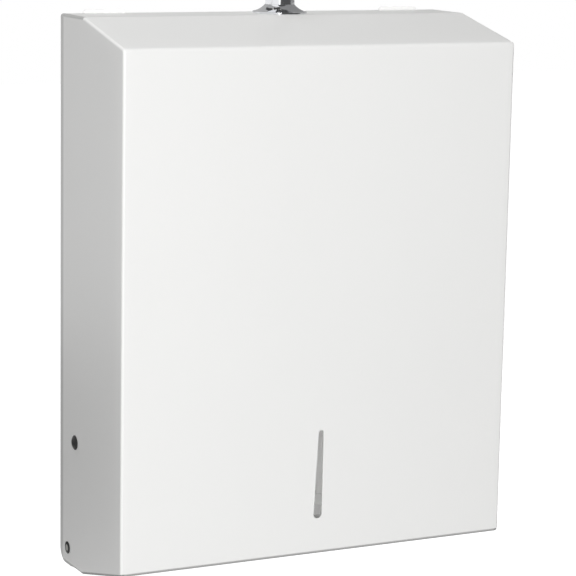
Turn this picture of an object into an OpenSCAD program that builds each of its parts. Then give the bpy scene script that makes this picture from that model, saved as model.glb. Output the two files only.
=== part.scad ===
// Surface-mounted multifold towel dispenser: a wall plate with its brackets and towel tray,
// and a bottom-hinged sheet-steel cover that carries a key lock.
// X runs to the right, +Y to the wall and Z up. The origin is the middle of the wall holes,
// on the face that lies against the wall.

/* [Cover] */
// Overall width of the cover
body_w = 283; // [264:1:330]
// Overall height of the cover
body_h = 372; // [330:1:440]
// Depth from the wall to the front panel
body_d = 110; // [105:1:140]
// Rise of the sloped panel at the top
bevel_h = 15.5; // [12:0.5:22]
// Rise of the sloped lower edge
lower_bevel_h = 17.5; // [14:0.5:22]
// Depth of the level strip at the back of the top and the bottom
flat_d = 41; // [39:0.5:50]
// Thickness of the cover's sheet steel
sheet_t = 1; // [0.8:0.1:1.4]
// Outside radius of the cover's bends
bend_r = 3; // [2:0.5:4]
// Gap from the cover's back edges to the wall
wall_gap = 0.8; // [0.5:0.1:1]
// Length of the lip that turns back under the front panel
lip_len = 20; // [12:1:24]
// Height of the return at the end of that lip
lip_return = 4; // [3.5:0.5:5]

/* [Sight slot] */
// Height of the slot's lower end above the front panel's lower edge
slot_up = 24; // [15:0.5:35]
// Length of the slot from end to end
slot_len = 60.5; // [40:0.5:80]
// Width of the slot's lower end
slot_low_w = 6.2; // [5:0.1:9]
// Width of the slot's upper end
slot_top_w = 3.6; // [2.5:0.1:4.5]
// Angle by which the slot leans to the right
slot_lean = 1.5; // [0:0.5:4]

/* [Hinge and stop] */
// Distance of the hinge axis from the wall
hinge_back = 15.3; // [14.5:0.1:17]
// Height of the hinge axis above the cover's lower edge
hinge_up = 11.7; // [11:0.1:13]
// Radius of the cover's lower back corner, which swings clear of the wall
corner_r = 9.5; // [9:0.5:11]
// Angle at which the stop pins halt the opening cover
cover_open = 50; // [30:1:52]
// Radius of the hinge pin
pin_r = 2.5; // [2:0.1:3]
// Radius of the hinge pin's outer head
pin_head_r = 4.2; // [3.6:0.1:5]
// Height of the hinge pin's outer head
pin_head_h = 1.5; // [1:0.1:2.5]
// Thickness of the hinge washer
washer_t = 0.8; // [0.5:0.1:0.8]
// Distance of the stop pin from the wall
stop_back = 28.5; // [26:0.1:31]
// Height of the stop pin above the cover's lower edge
stop_up = 88; // [80:0.5:95]
// Radius of the stop pin
stop_r = 3; // [2.4:0.1:3.5]
// Radius of the stop pin's outer head
stop_head_r = 4.9; // [4.2:0.1:6]
// Height of the stop pin's outer head
stop_head_h = 2; // [1:0.1:3]
// Thickness of the push-on clip on the stop pin
clip_t = 1; // [0.6:0.1:1.5]
// Radius of the push-on clip
clip_r = 5.5; // [4.8:0.1:6]

/* [Wall plate] */
// Thickness of the wall plate
plate_t = 1.2; // [1:0.1:1.6]
// Height of the plate's lower edge above the cover's lower edge
plate_lift = 4; // [3:0.5:4.5]
// Width of each locating tab on the plate's upper edge
tab_w = 30; // [20:1:40]
// Distance between the middles of the two tabs
tab_spacing = 222; // [180:1:226]
// Height of the tabs above the cover's top
tab_h = 2.2; // [1.5:0.1:5]
// Radius of the tabs' upper corners
tab_corner = 2.5; // [1:0.5:3]
// Distance between the wall holes across the plate
mount_w = 180; // [140:1:190]
// Distance between the wall holes up the plate
mount_h = 250; // [200:1:260]
// Radius of the wall holes
mount_r = 3; // [2.5:0.1:3.5]

/* [Brackets] */
// Thickness of the side brackets
bracket_t = 1.2; // [1:0.1:1.6]
// Gap between the cover's ends and the brackets
side_gap = 1; // [1:0.1:1.5]
// Width of the bracket flange on the wall plate
flange_w = 12; // [10:0.5:12]
// Extra height of the rail's front end, over the lip of the cover
rail_clear = 2; // [1.5:0.1:3]
// Metal left around the arc slot
slot_rim = 5; // [4:0.5:6]
// Extra radius of the drilled ends of the arc slot
slot_relief = 0.2; // [0.1:0.05:0.4]

/* [Towel tray] */
// Thickness of the tray's sheet
tray_t = 1; // [0.8:0.1:1.4]
// Height of the tray's floor above the cover's lower edge
tray_up = 24.5; // [24:0.5:28]
// Width of the dispensing mouth
mouth_w = 200; // [160:1:215]
// Depth of the dispensing mouth, front to back
mouth_d = 50; // [40:1:52]
// Depth of the lip turned down around the mouth
mouth_lip = 6; // [4:0.5:8]
// Radius of the rolled bead along the mouth's front and back lips
bead_r = 1.4; // [1:0.1:1.8]
// Height of the tray's upturned ends and front
tray_rim = 10; // [8:0.5:11]
// Gap between the tray's front and the cover's front panel
tray_gap = 5; // [3:0.5:6]

/* [Towel guides] */
// Distance of the guides' inner faces from the brackets
guide_inset = 13.8; // [13.5:0.1:30]
// Thickness of the guides' sheet
guide_t = 1; // [0.8:0.1:1.2]
// Depth of the guides from the wall plate
guide_d = 38; // [25:1:60]
// Height of the guides above the tray
guide_h = 230; // [150:1:250]
// Width of the guide flange on the wall plate
guide_flange = 14; // [12:0.5:18]

/* [Lock] */
// Offset of the lock from the middle of the cover
lock_x = 9; // [8:0.5:20]
// Distance of the lock from the wall
lock_back = 20.5; // [20:0.5:21]
// Radius of the flared collar at its base
collar_r = 18.5; // [16:0.5:18.5]
// Radius of the flared collar at its top
collar_top_r = 10; // [9.9:0.1:12]
// Height of the flared collar
collar_h = 6; // [5:0.5:9]
// Height of the collar's upright base rim
collar_rim = 1.2; // [0.8:0.1:2]
// Radius of the hollow sweep of the collar
collar_sweep = 14; // [12:0.5:20]
// Radius of the lock barrel
barrel_r = 9.5; // [9:0.1:9.8]
// Height of the barrel's head above the collar
barrel_head = 5.5; // [4:0.1:8]
// Chamfer of the barrel's head
barrel_edge = 0.8; // [0.4:0.1:1.2]
// Length of the barrel below the cover's top
barrel_drop = 19; // [17:0.5:22]
// Radius of the turning plug
plug_r = 6; // [5.8:0.1:6.3]
// Radius of the plug's face
plug_face_r = 7.5; // [7:0.1:8]
// Thickness of the plug's face
plug_face_t = 1.5; // [1:0.1:1.6]
// Side of the square tail that turns the cam
tail_w = 6.5; // [6:0.1:7]
// Distance across the flats of the lock nut
nut_af = 24; // [22:0.5:25]
// Thickness of the lock nut
nut_h = 5; // [3:0.5:6]
// Thickness of the washer over the lock nut
nut_washer_t = 0.8; // [0.5:0.1:1.2]
// Reach of the cam arm from the lock's axis
cam_len = 16.5; // [15:0.5:17]
// Width of the cam arm
cam_w = 10; // [9:0.5:11]
// Thickness of the cam
cam_t = 2; // [1.5:0.1:2.5]
// Radius of the cam screw's head
cam_screw_r = 5.2; // [4.9:0.1:6]
// Height of the cam screw's head
cam_screw_h = 2.2; // [1.5:0.1:2.4]
// Radius of the cam screw's thread
cam_thread_r = 1.9; // [1.4:0.1:2.1]
// Number of wafers in the plug
wafers = 4; // [3:1:5]
// Thickness of a wafer
wafer_t = 1; // [0.8:0.1:1.2]

/* [Keeper] */
// Thickness of the keeper's sheet
keeper_t = 1.5; // [1.2:0.1:2]
// Width of the keeper's base
keeper_w = 24; // [20:1:28]
// Height of the keeper's flange on the wall plate
keeper_flange = 18; // [14:0.5:24]
// Width of the upright lip that the cam turns behind
keeper_lip_w = 8; // [6:0.5:10]
// Height of that lip above the keeper's shelf
keeper_lip_h = 12; // [10:0.5:13]

/* [Key] */
// Width of the key's blade
blade_w = 8; // [7:0.1:8.2]
// Thickness of the key's blade
blade_t = 2; // [1.6:0.1:2.2]
// Length of the key's blade
blade_len = 24; // [20:0.5:25]
// Radius of the key's bow
bow_r = 12; // [9:0.5:15]
// Radius of the ring hole in the bow
bow_hole_r = 3; // [2:0.1:4]
// Height of the neck between blade and bow
neck_h = 5; // [3:0.5:8]

/* [Rivets and fits] */
// Radius of the rivets
rivet_r = 1.6; // [1.2:0.1:2]
// Radius of the rivets' heads
rivet_head_r = 3; // [2.5:0.1:3.5]
// Height of the rivets' heads
rivet_head_h = 1; // [0.8:0.1:1.2]
// Radial gap of a fixed fit
fit_gap = 0.05; // [0.02:0.01:0.08]
// Radial gap of a running fit
run_gap = 0.06; // [0.03:0.01:0.1]
// Gap between flat faces that pass each other
pass_gap = 0.2; // [0.15:0.05:0.3]
// Gap around what slides or stands in a cut-out
slip_gap = 0.4; // [0.3:0.05:0.6]

/* [Hidden] */
$fn = 64;
// Overlap that joins the pieces of one solid, and the reach of a cut past a face
join = 0.01;
past = 1;
left = -1;
right = 1;

// Levels of the cover and its faces
top = body_h / 2;
bottom = -body_h / 2;
front = -body_d;
top_in = top - sheet_t;
end_out = body_w / 2;
end_in = end_out - sheet_t;
lip_dir = unit([body_d - flat_d, -lower_bevel_h]);

// Middle of the lower back corner, hinge axis and stop pin, as [y, z]
corner_mid = [-wall_gap - corner_r, bottom + corner_r];
hinge = [-hinge_back, bottom + hinge_up];
stop = [-stop_back, bottom + stop_up];
stop_arm = norm(stop - hinge);
stop_angle = atan2(stop.y - hinge.y, stop.x - hinge.x);
arc_slot_w = 2 * (stop_r + slip_gap);
quadrant_r = stop_arm + arc_slot_w / 2 + slot_rim;

// Brackets, tray and guides
web_out = end_in - side_gap;
web_in = web_out - bracket_t;
flange_face = -plate_t - bracket_t;
flange_low = bottom + plate_lift;
flange_h = hinge.y + quadrant_r - slot_rim - flange_low;
tray_floor = bottom + tray_up;
tray_front = front + sheet_t + tray_gap;
tray_back = flange_face - slip_gap;
mouth_mid = (tray_front + tray_back) / 2;
guide_in = web_in - guide_inset;
plate_top = top_in - wall_gap;

// Lock levels, from the collar down to the cam screw
lock_y = -lock_back;
collar_top = top + collar_h;
face_top = collar_top + barrel_head;
barrel_end = top - barrel_drop;
cam_top = barrel_end - pass_gap;
cam_under = cam_top - cam_t;
tail_end = cam_under + pass_gap / 2;
keyway_w = blade_w + 2 * pass_gap;
keyway_t = blade_t + 2 * pass_gap;
wafer_rim = [1.1, 0.9];
wafer_size = [keyway_w, keyway_t] + 2 * wafer_rim;
wafer_pitch = blade_len / (wafers + 2);

// Keeper, which the cam turns behind at a quarter turn
keeper_side_room = 1.5;
keeper_under_room = 3;
keeper_right = lock_x - barrel_r - keeper_side_room;
keeper_lip_front = lock_y - cam_w / 2 - 2 * slip_gap - keeper_t;
keeper_shelf = cam_under - cam_screw_h - keeper_under_room;
keeper_mid = keeper_right - keeper_lip_w / 2;

// Places of the rivets
bracket_rivet_z = [for (share = [0.12, 0.5, 0.88]) flange_low + flange_h * share];
bracket_rivet_x = web_in - flange_w / 2;
tray_rivet_y = [for (share = [0.15, 0.85]) tray_front + (tray_back - tray_front) * share];
tray_rivet_z = tray_floor + tray_rim / 2 + tray_t / 4;
guide_rivet_z = [for (share = [0.12, 0.5, 0.88]) tray_floor + guide_h * share];
guide_rivet_x = guide_in - guide_flange / 2;
keeper_rivet_x = [for (s = [left, right]) keeper_mid + s * keeper_w / 4];
keeper_rivet_z = keeper_shelf - keeper_flange / 2;

function unit(v) = v / norm(v);
function left_of(v) = [-v.y, v.x];
function turned(v, a) = [v.x * cos(a) - v.y * sin(a), v.x * sin(a) + v.y * cos(a)];
function reversed(list) = [for (i = [len(list) - 1 : -1 : 0]) list[i]];
function arc(centre, r, a0, a1, steps = 12) =
    [for (k = [0 : steps]) centre + turned([r, 0], a0 + (a1 - a0) * k / steps)];

// Open path moved to its left by d, with mitred corners
function shifted(path, d) = [
    for (i = [0 : len(path) - 1])
    let (
        a = max(i, 1),
        b = min(i, len(path) - 2),
        n1 = left_of(unit(path[a] - path[a - 1])),
        n2 = left_of(unit(path[b + 1] - path[b]))
    )
    path[i] + (n1 + n2) * d / (1 + n1 * n2)
];

// Open path whose corners are arcs: r_left where it turns left, r_right where it turns right
function rounded(path, r_left, r_right, steps = 6) = [
    for (i = [0 : len(path) - 1])
    each (i == 0 || i == len(path) - 1) ? [path[i]] :
    let (
        into = unit(path[i] - path[i - 1]),
        out = unit(path[i + 1] - path[i]),
        side = sign(cross(into, out)),
        r = side > 0 ? r_left : r_right,
        angle = acos(into * out),
        start = path[i] - into * r * tan(angle / 2),
        centre = start + left_of(into) * side * r
    )
    [for (k = [0 : steps]) centre + turned(start - centre, side * angle * k / steps)]
];

// Outline of bent sheet: the path is one face, and the sheet lies to its left
function bent_sheet(path, t, r) = concat(
    rounded(path, r, r - t),
    reversed(rounded(shifted(path, t), r - t, r)));

// Outline in Y and Z, extruded along X over a width about x
module across(width, x = 0) {
    translate([x, 0, 0])
        rotate([90, 0, 90])
            linear_extrude(width, center = true) children();
}

// Outline in X and Z, extruded from the plane at y towards the front
module upright(thickness, y = 0) {
    translate([0, y, 0])
        rotate([90, 0, 0])
            linear_extrude(thickness) children();
}

// Children on the right-hand side, or mirrored to the left
module on_side(side) {
    if (side == right) children();
    else mirror([1, 0, 0]) children();
}

// Round bar along X between two X values, at a place in [y, z]
module bar_x(x0, x1, r, at) {
    translate([x0, at.x, at.y])
        rotate([0, 90, 0])
            cylinder(h = x1 - x0, r = r);
}

// Round bar along Y from the wall side y0 to the front side y1, at a place in [x, z]
module bar_y(y0, y1, r, at) {
    translate([at.x, y0, at.y])
        rotate([90, 0, 0])
            cylinder(h = y0 - y1, r = r);
}

// Low dome of radius r and height h, standing on the XY plane
module dome(r, h) {
    ball = (r * r + h * h) / (2 * h);
    rotate_extrude()
        intersection() {
            translate([0, h - ball]) circle(ball);
            square([r, h]);
        }
}

// Rivet along Y: flush at y0, with a dome on the front face at y1
module rivet_y(y0, y1, at) {
    bar_y(y0, y1 - join, rivet_r, at);
    translate([at.x, y1, at.y]) rotate([90, 0, 0]) dome(rivet_head_r, rivet_head_h);
}

// Slot of width w on a circle of radius r between two angles, with wider drilled ends
module arc_slot(r, w, a0, a1) {
    reach = 1.5 * r;
    intersection() {
        difference() {
            circle(r + w / 2);
            circle(r - w / 2);
        }
        polygon([[0, 0], for (k = [0 : 2]) reach * turned([1, 0], a0 + (a1 - a0) * k / 2)]);
    }
    for (a = [a0, a1]) translate(r * turned([1, 0], a)) circle(w / 2 + slot_relief);
}

// Slot along +Y between two round ends, with straight sides that touch both
module tapered_slot(length, low_w, top_w) {
    r1 = low_w / 2;
    r2 = top_w / 2;
    lean = asin((r1 - r2) / (length - r1 - r2));
    polygon(concat(
        arc([0, r1], r1, -180 - lean, lean),
        arc([0, length - r2], r2, lean, 180 - lean)));
}

// Wall plate with its locating tabs, wall holes and rivet holes
module back_plate() {
    color("gainsboro")
    upright(plate_t)
    difference() {
        union() {
            translate([-web_out, bottom + plate_lift])
                square([2 * web_out, plate_top - bottom - plate_lift]);
            for (s = [left, right]) translate([s * tab_spacing / 2, 0]) tab_outline();
        }
        for (x = [left, right], z = [left, right])
            translate([x * mount_w / 2, z * mount_h / 2]) circle(mount_r);
        for (s = [left, right]) {
            for (z = bracket_rivet_z) translate([s * bracket_rivet_x, z]) rivet_hole();
            for (z = guide_rivet_z) translate([s * guide_rivet_x, z]) rivet_hole();
        }
        for (x = keeper_rivet_x) translate([x, keeper_rivet_z]) rivet_hole();
    }
}

module rivet_hole() {
    circle(rivet_r + fit_gap);
}

module tab_outline() {
    half = tab_w / 2;
    path = [[half, plate_top - past], [half, top + tab_h], [-half, top + tab_h],
        [-half, plate_top - past]];
    polygon(rounded(path, tab_corner, tab_corner));
}

// Side bracket: a quadrant plate with the hinge hole and the stop pin's arc slot,
// a rail under the tray's end and a flange on the wall plate
module bracket(side) {
    rail_front = tray_front + tray_t;
    rail_rise = (flat_d + rail_front) * lip_dir.y / lip_dir.x + rail_clear;
    rail = [[-plate_t, flange_low], [-flat_d, flange_low], [rail_front, flange_low + rail_rise],
        [rail_front, tray_floor + tray_rim], [-plate_t, tray_floor + tray_rim]];
    play = slip_gap / stop_arm * 180 / PI;
    color("silver")
    on_side(side) {
        across(bracket_t, web_in + bracket_t / 2)
        difference() {
            union() {
                polygon(rail);
                intersection() {
                    translate(hinge) circle(quadrant_r);
                    translate([-2 * quadrant_r - plate_t, tray_floor]) square(2 * quadrant_r);
                }
            }
            translate(hinge) circle(pin_r + fit_gap);
            translate(hinge)
                arc_slot(stop_arm, arc_slot_w, stop_angle - play,
                    stop_angle + cover_open + play);
            for (y = tray_rivet_y) translate([y, tray_rivet_z]) rivet_hole();
        }
        upright(bracket_t, -plate_t)
        difference() {
            translate([web_in - flange_w, flange_low]) square([flange_w + join, flange_h]);
            for (z = bracket_rivet_z) translate([bracket_rivet_x, z]) rivet_hole();
        }
    }
}

module left_bracket() {
    bracket(left);
}

module right_bracket() {
    bracket(right);
}

module bracket_rivets() {
    color("gainsboro")
    for (s = [left, right], z = bracket_rivet_z)
        rivet_y(0, flange_face, [s * bracket_rivet_x, z]);
}

// Tray that carries the towels, with a lipped mouth through which they are drawn
module towel_tray() {
    depth = tray_back - tray_front;
    lip_low = tray_floor - mouth_lip;
    color("silver")
    difference() {
        union() {
            translate([-web_in, tray_front, tray_floor]) cube([2 * web_in, depth, tray_t]);
            translate([-web_in, tray_front, tray_floor]) cube([2 * web_in, tray_t, tray_rim]);
            for (s = [left, right]) on_side(s)
                translate([web_in - tray_t, tray_front, tray_floor])
                    cube([tray_t, depth, tray_rim]);
            translate([-mouth_w / 2 - tray_t, mouth_mid - mouth_d / 2 - tray_t, lip_low])
                cube([mouth_w + 2 * tray_t, mouth_d + 2 * tray_t, mouth_lip + join]);
            for (s = [left, right])
                bar_x(-mouth_w / 2, mouth_w / 2, bead_r,
                    [mouth_mid + s * (mouth_d / 2 + bead_r), lip_low]);
        }
        translate([-mouth_w / 2, mouth_mid - mouth_d / 2, lip_low - bead_r - past])
            cube([mouth_w, mouth_d, mouth_lip + bead_r + tray_t + 2 * past]);
        for (y = tray_rivet_y)
            bar_x(-web_in - past, web_in + past, rivet_r + fit_gap, [y, tray_rivet_z]);
    }
}

module tray_rivets() {
    color("gainsboro")
    for (s = [left, right], y = tray_rivet_y) on_side(s) {
        bar_x(web_in - tray_t - join, web_out, rivet_r, [y, tray_rivet_z]);
        translate([web_in - tray_t, y, tray_rivet_z])
            rotate([0, -90, 0]) dome(rivet_head_r, rivet_head_h);
    }
}

// Upright guide beside the towels, on an inward flange
module towel_guide(side) {
    flange = [guide_in - guide_flange, -plate_t];
    path = [flange, [guide_in + guide_t, -plate_t], [guide_in + guide_t, -plate_t - guide_d]];
    color("silver")
    on_side(side)
    difference() {
        translate([0, 0, tray_floor + tray_t])
            linear_extrude(guide_h)
                polygon(bent_sheet(reversed(path), guide_t, 2 * guide_t));
        for (z = guide_rivet_z)
            bar_y(0, -plate_t - guide_t - past, rivet_r + fit_gap, [guide_rivet_x, z]);
    }
}

module left_towel_guide() {
    towel_guide(left);
}

module right_towel_guide() {
    towel_guide(right);
}

module guide_rivets() {
    color("gainsboro")
    for (s = [left, right], z = guide_rivet_z)
        rivet_y(0, -plate_t - guide_t, [s * guide_rivet_x, z]);
}

// Keeper on the wall plate: flange, shelf and the lip that the cam turns behind
module lock_keeper() {
    shelf_depth = -plate_t - keeper_lip_front;
    left_edge = keeper_mid - keeper_w / 2;
    color("silver")
    difference() {
        union() {
            translate([left_edge, -plate_t - keeper_t, keeper_shelf - keeper_flange])
                cube([keeper_w, keeper_t, keeper_flange]);
            translate([left_edge, keeper_lip_front, keeper_shelf - keeper_t])
                cube([keeper_w, shelf_depth, keeper_t]);
            translate([keeper_right - keeper_lip_w, keeper_lip_front, keeper_shelf - keeper_t])
                cube([keeper_lip_w, keeper_t, keeper_lip_h + keeper_t]);
        }
        for (x = keeper_rivet_x)
            bar_y(0, -plate_t - keeper_t - past, rivet_r + fit_gap, [x, keeper_rivet_z]);
    }
}

module keeper_rivets() {
    color("gainsboro")
    for (x = keeper_rivet_x) rivet_y(0, -plate_t - keeper_t, [x, keeper_rivet_z]);
}

// Hinge pin: riveted in the bracket, with its head outside the cover's end
module hinge_pin(side) {
    color("gainsboro")
    on_side(side) {
        bar_x(web_in - pin_head_h, end_out + pass_gap + join, pin_r, hinge);
        bar_x(web_in - pin_head_h, web_in, pin_head_r, hinge);
        translate([end_out + pass_gap, hinge.x, hinge.y])
            rotate([0, 90, 0]) dome(pin_head_r, pin_head_h);
    }
}

module left_hinge_pin() {
    hinge_pin(left);
}

module right_hinge_pin() {
    hinge_pin(right);
}

// Washer between the bracket and the cover's end
module hinge_washer(side) {
    color("whitesmoke")
    on_side(side)
    difference() {
        bar_x(web_out, web_out + washer_t, pin_head_r, hinge);
        bar_x(web_out - past, web_out + washer_t + past, pin_r + fit_gap, hinge);
    }
}

module left_hinge_washer() {
    hinge_washer(left);
}

module right_hinge_washer() {
    hinge_washer(right);
}

// Folded sheet that makes the cover's top, slope, front and lower lip
module cover_front() {
    corner = [front, bottom + lower_bevel_h];
    lip_end = corner + lip_len * lip_dir;
    path = [[-wall_gap, top], [-flat_d, top], [front, top - bevel_h], corner, lip_end,
        lip_end + lip_return * left_of(lip_dir)];
    color("white")
    difference() {
        across(2 * end_in) polygon(bent_sheet(path, sheet_t, bend_r));
        upright(4 * bend_r, front + 2 * bend_r)
            translate([0, corner.y + slot_up])
                rotate(-slot_lean) tapered_slot(slot_len, slot_low_w, slot_top_w);
        translate([lock_x, lock_y, top_in - past])
            cylinder(h = sheet_t + 2 * past, r = barrel_r + fit_gap);
        for (s = [left, right])
            translate([s * tab_spacing / 2 - tab_w / 2 - slip_gap, -plate_t - slip_gap, top_in - past])
                cube([tab_w + 2 * slip_gap, plate_t + slip_gap, sheet_t + 2 * past]);
    }
}

// End panel of the cover, with the hinge and stop pin holes
module cover_end(side) {
    outline = [[-wall_gap, corner_mid.y], [-wall_gap, top], [-flat_d, top],
        [front, top - bevel_h], [front, bottom + lower_bevel_h], [-flat_d, bottom],
        [corner_mid.x, bottom]];
    color("white")
    on_side(side)
    across(sheet_t, end_in + sheet_t / 2)
    difference() {
        union() {
            polygon([corner_mid, each rounded(outline, bend_r, bend_r)]);
            translate(corner_mid) circle(corner_r);
        }
        translate(hinge) circle(pin_r + run_gap);
        translate(stop) circle(stop_r + fit_gap);
    }
}

module cover_left_end() {
    cover_end(left);
}

module cover_right_end() {
    cover_end(right);
}

// Stop pin: riveted in the cover's end, it runs in the bracket's arc slot
module stop_pin(side) {
    tip = web_in - slip_gap - 2 * clip_t;
    color("dimgray")
    on_side(side) {
        bar_x(tip, end_out + join, stop_r, stop);
        translate([end_out, stop.x, stop.y]) rotate([0, 90, 0]) dome(stop_head_r, stop_head_h);
    }
}

module left_stop_pin() {
    stop_pin(left);
}

module right_stop_pin() {
    stop_pin(right);
}

// Push-on clip that holds the stop pin in the slot
module stop_clip(side) {
    clip_out = web_in - slip_gap;
    color("silver")
    on_side(side)
    difference() {
        bar_x(clip_out - clip_t, clip_out, clip_r, stop);
        bar_x(clip_out - clip_t - past, clip_out + past, stop_r + fit_gap, stop);
    }
}

module left_stop_clip() {
    stop_clip(left);
}

module right_stop_clip() {
    stop_clip(right);
}

// Children stood on the lock's axis at a height
module at_lock(z) {
    translate([lock_x, lock_y, z]) children();
}

// Flared collar around the lock, hollowed by an arc of radius collar_sweep
module lock_collar() {
    bore = barrel_r + fit_gap;
    low = [collar_r, collar_rim];
    high = [collar_top_r, collar_h];
    chord = high - low;
    sweep_mid = (low + high) / 2
        - left_of(unit(chord)) * sqrt(collar_sweep ^ 2 - chord * chord / 4);
    color("lightgray")
    at_lock(top)
    rotate_extrude()
    difference() {
        polygon([[bore, 0], [collar_r, 0], low, high, [bore, collar_h]]);
        translate(sweep_mid) circle(collar_sweep);
    }
}

// Barrel of the lock, with a head on the collar and a bore for the plug
module lock_barrel() {
    seat = plug_face_t + pass_gap;
    color("lightgray")
    difference() {
        union() {
            at_lock(barrel_end) cylinder(h = face_top - barrel_end - barrel_edge, r = barrel_r);
            at_lock(collar_top) cylinder(h = barrel_head - barrel_edge, r = collar_top_r);
            at_lock(face_top - barrel_edge)
                cylinder(h = barrel_edge, r1 = collar_top_r, r2 = collar_top_r - barrel_edge);
        }
        at_lock(barrel_end - past)
            cylinder(h = face_top - barrel_end + 2 * past, r = plug_r + run_gap);
        at_lock(face_top - seat) cylinder(h = seat + past, r = plug_face_r + run_gap);
    }
}

module lock_washer() {
    color("silver")
    at_lock(top_in - nut_washer_t)
    difference() {
        cylinder(h = nut_washer_t, d = nut_af);
        translate([0, 0, -past])
            cylinder(h = nut_washer_t + 2 * past, r = barrel_r + fit_gap);
    }
}

module lock_nut() {
    color("silver")
    at_lock(top_in - nut_washer_t - nut_h)
    difference() {
        cylinder(h = nut_h, r = nut_af / 2 / cos(30), $fn = 6);
        translate([0, 0, -past]) cylinder(h = nut_h + 2 * past, r = barrel_r + fit_gap);
    }
}

// Height of the middle of wafer i
function wafer_z(i) = face_top - (i + 1.5) * wafer_pitch;

// Plug that the key turns: face, body with keyway and wafer pockets, and square tail
module lock_plug() {
    color("lightgray")
    difference() {
        union() {
            at_lock(face_top - plug_face_t) cylinder(h = plug_face_t, r = plug_face_r);
            at_lock(barrel_end)
                cylinder(h = face_top - barrel_end - plug_face_t + join, r = plug_r);
            at_lock((tail_end + barrel_end) / 2)
                cube([tail_w, tail_w, barrel_end - tail_end + join], center = true);
        }
        at_lock(face_top - blade_len / 2 - pass_gap)
            cube([keyway_w, keyway_t, blade_len + 2 * past], center = true);
        for (i = [0 : wafers - 1])
            at_lock(wafer_z(i))
                cube([wafer_size.x + pass_gap, wafer_size.y + pass_gap, wafer_t + pass_gap],
                    center = true);
        at_lock(tail_end - past) cylinder(h = cam_screw_reach() + past, r = cam_thread_r + fit_gap);
    }
}

// Depth of the cam screw's thread in the plug
function cam_screw_reach() = 3 * cam_thread_r;

// Wafers in the plug, each a frame around the key's blade
module lock_wafers() {
    color("goldenrod")
    for (i = [0 : wafers - 1])
        at_lock(wafer_z(i))
        difference() {
            cube([wafer_size.x, wafer_size.y, wafer_t], center = true);
            cube([keyway_w, keyway_t, wafer_t + past], center = true);
        }
}

// Cam on the plug's tail: at rest it points to the wall, and the cover is free
module lock_cam() {
    hub = cam_w / 2 + 1.5;
    color("silver")
    at_lock(cam_under)
    linear_extrude(cam_t)
    difference() {
        union() {
            circle(hub);
            translate([-cam_w / 2, 0]) square([cam_w, cam_len]);
        }
        square(tail_w + 2 * fit_gap, center = true);
    }
}

module cam_screw() {
    color("gainsboro")
    at_lock(cam_under) {
        cylinder(h = tail_end - cam_under + cam_screw_reach() - pass_gap, r = cam_thread_r);
        mirror([0, 0, 1])
        difference() {
            dome(cam_screw_r, cam_screw_h);
            translate([-cam_screw_r, -cam_thread_r / 4, cam_screw_h / 2])
                cube([2 * cam_screw_r, cam_thread_r / 2, cam_screw_h]);
        }
    }
}

// Key: a notched blade, a neck on the plug's face and a round bow with a ring hole
module key() {
    seat = face_top + pass_gap;
    bow_z = neck_h + bow_r * 0.9;
    notch = blade_w / 6;
    point = blade_w / 2;
    color("lightgray")
    at_lock(seat)
    translate([0, blade_t / 2, 0])
    rotate([90, 0, 0])
    linear_extrude(blade_t)
    difference() {
        union() {
            polygon([[-blade_w / 2, neck_h], [-blade_w / 2, point - blade_len], [0, -blade_len],
                [blade_w / 2, point - blade_len], [blade_w / 2, neck_h]]);
            translate([-keyway_w / 2 - notch, 0]) square([keyway_w + 2 * notch, neck_h]);
            translate([0, bow_z]) circle(bow_r);
        }
        translate([0, bow_z + bow_r / 2]) circle(bow_hole_r);
        for (i = [0 : wafers - 1])
            translate([blade_w / 2, -(i + 1.5) * wafer_pitch])
                rotate(45) square(notch * (i % 2 == 0 ? 1 : 0.7), center = true);
    }
}

back_plate();
left_bracket();
right_bracket();
bracket_rivets();
towel_tray();
tray_rivets();
left_towel_guide();
right_towel_guide();
guide_rivets();
lock_keeper();
keeper_rivets();
left_hinge_pin();
right_hinge_pin();
left_hinge_washer();
right_hinge_washer();
cover_front();
cover_left_end();
cover_right_end();
left_stop_pin();
right_stop_pin();
left_stop_clip();
right_stop_clip();
lock_collar();
lock_barrel();
lock_washer();
lock_nut();
lock_plug();
lock_wafers();
lock_cam();
cam_screw();
key();
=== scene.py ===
"""Looks of a surface-mounted multifold towel dispenser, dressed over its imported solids.

Lengths are in metres, in the part's own frame: X to the right, +Y to the wall and Z up.
"""

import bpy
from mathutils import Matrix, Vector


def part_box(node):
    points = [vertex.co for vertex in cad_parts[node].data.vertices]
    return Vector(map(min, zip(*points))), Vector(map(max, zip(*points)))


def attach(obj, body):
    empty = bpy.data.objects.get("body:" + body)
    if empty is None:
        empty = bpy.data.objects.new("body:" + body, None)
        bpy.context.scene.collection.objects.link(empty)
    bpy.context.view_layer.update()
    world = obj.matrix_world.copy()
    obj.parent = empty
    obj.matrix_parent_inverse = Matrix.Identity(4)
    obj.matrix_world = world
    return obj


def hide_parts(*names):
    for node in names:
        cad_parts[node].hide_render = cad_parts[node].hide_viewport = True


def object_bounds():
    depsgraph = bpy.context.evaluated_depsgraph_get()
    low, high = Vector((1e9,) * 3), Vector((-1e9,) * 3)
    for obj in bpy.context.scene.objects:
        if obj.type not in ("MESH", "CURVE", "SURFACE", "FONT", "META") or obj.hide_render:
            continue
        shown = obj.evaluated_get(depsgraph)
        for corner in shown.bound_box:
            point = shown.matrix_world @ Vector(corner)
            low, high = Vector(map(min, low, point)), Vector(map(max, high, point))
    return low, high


bl_info = {
    "name": "Towel Dispenser Looks",
    "version": (1, 0, 0),
    "blender": (4, 5, 0),
    "location": "View3D > Sidebar > Dispenser",
    "description": "Dresses the packed towel dispenser in enamel, plated steel and chrome",
    "category": "Object",
}

import math

import bmesh
import bpy
import numpy as np
from mathutils import Quaternion, Vector

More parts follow.
